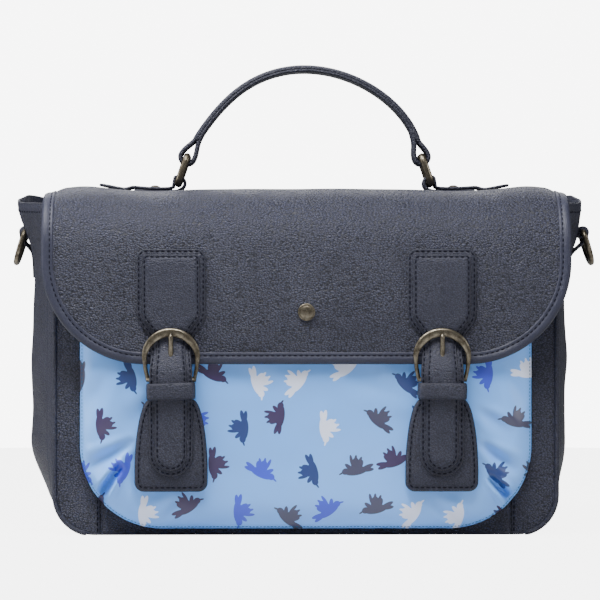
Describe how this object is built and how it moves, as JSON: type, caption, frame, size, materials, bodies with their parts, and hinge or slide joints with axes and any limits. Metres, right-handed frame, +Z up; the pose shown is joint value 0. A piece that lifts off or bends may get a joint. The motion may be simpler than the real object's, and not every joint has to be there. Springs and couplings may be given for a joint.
{
  "type": "diaper bag",
  "caption": "Satchel-shaped leather changing bag with a printed front pocket, a full flap with buckled snap straps, a carrying handle and side rings.",
  "frame": {"origin": "on the floor under the centre of the whole bag's box, side rings included", "axes": "+Z up, the flap and pocket face -Y, +X to the right seen from the front"},
  "size_m": [0.4498, 0.1742, 0.3593],
  "materials": {
    "leather": "navy pebbled leather, satin",
    "printed_cloth": "light blue coated cotton with a scattered bird print",
    "lining_cloth": "plain woven lining",
    "old_brass": "antiqued, dark in the hollows",
    "snap_steel": "plain magnetic snap",
    "base_board": "plain stiffener"
  },
  "bodies": {
    "bag_body": {"front_panel": "leather", "front_side_left": "leather", "front_side_right": "leather", "back_panel": "leather", "side_gusset_left": "leather", "side_gusset_right": "leather", "base_gusset": "leather", "base_board": "base_board", "lining": "lining_cloth", "front_pocket": "printed_cloth", "flap_sewn_strip": "leather", "snap_socket_left": "snap_steel", "snap_socket_right": "snap_steel", "socket_washer_left": "snap_steel", "socket_washer_right": "snap_steel", "side_tab_left": "leather", "side_tab_right": "leather"},
    "flap_top": {"flap_top_panel": "leather", "flap_top_lining": "lining_cloth", "handle_tab_left": "leather", "handle_tab_right": "leather", "handle_rivet_left": "old_brass", "handle_rivet_right": "old_brass"},
    "flap_front": {"flap_panel": "leather", "flap_lining": "lining_cloth", "flap_binding": "leather", "badge": "old_brass", "badge_washer": "snap_steel", "strap_base_left": "leather", "strap_base_right": "leather", "strap_overlay_left": "leather", "strap_overlay_right": "leather", "buckle_frame_left": "old_brass", "buckle_frame_right": "old_brass", "keeper_left": "leather", "keeper_right": "leather", "lower_tab_left": "leather", "lower_tab_right": "leather", "snap_stud_left": "snap_steel", "snap_stud_right": "snap_steel"},
    "handle_ring_left": {"handle_ring_left": "old_brass"},
    "handle_ring_right": {"handle_ring_right": "old_brass"},
    "handle": {"handle_strap": "leather", "handle_underlay": "leather"},
    "side_ring_left": {"side_ring_left": "old_brass"},
    "side_ring_right": {"side_ring_right": "old_brass"},
    "prong_left": {"buckle_prong_left": "old_brass"},
    "prong_right": {"buckle_prong_right": "old_brass"}
  },
  "joints": [
    {"name": "flap_lift", "type": "hinge", "parent": "bag_body", "child": "flap_top", "pos_m": [0, 0.0847, 0.2603], "axis": [-1, 0, 0], "range_deg": [0, 180]},
    {"name": "flap_swing", "type": "hinge", "parent": "flap_top", "child": "flap_front", "pos_m": [0, -0.0709, 0.2603], "axis": [-1, 0, 0], "range_deg": [0, 150]},
    {"name": "handle_sway", "type": "hinge", "parent": "flap_top", "child": "handle_ring_left", "pos_m": [-0.0975, 0.014, 0.2672], "axis": [0, 1, 0], "range_deg": [-15, 15]},
    {"name": "handle_ring_right_turn", "type": "hinge", "parent": "flap_top", "child": "handle_ring_right", "pos_m": [0.0975, 0.014, 0.2672], "axis": [0, 1, 0], "range_deg": [-15, 15]},
    {"name": "handle_turn", "type": "hinge", "parent": "handle_ring_left", "child": "handle", "pos_m": [-0.0905, 0.014, 0.28753], "axis": [0, 1, 0], "range_deg": [-16.5, 16.5]},
    {"name": "side_ring_left_swing", "type": "hinge", "parent": "bag_body", "child": "side_ring_left", "pos_m": [-0.2155, 0.016, 0.2295], "axis": [0, 1, 0], "range_deg": [0, 120]},
    {"name": "side_ring_right_swing", "type": "hinge", "parent": "bag_body", "child": "side_ring_right", "pos_m": [0.2155, 0.016, 0.2295], "axis": [0, -1, 0], "range_deg": [0, 120]},
    {"name": "prong_left_turn", "type": "hinge", "parent": "flap_front", "child": "prong_left", "pos_m": [-0.101, -0.0768, 0.1178], "axis": [1, 0, 0], "range_deg": [0, 8]},
    {"name": "prong_right_turn", "type": "hinge", "parent": "flap_front", "child": "prong_right", "pos_m": [0.101, -0.0768, 0.1178], "axis": [1, 0, 0], "range_deg": [0, 8]}
  ],
  "couplings": [
    {"joint": "handle_ring_right_turn", "follows": "handle_sway", "ratio": 1},
    {"joint": "handle_turn", "follows": "handle_sway", "ratio": -1.0773}
  ]
}
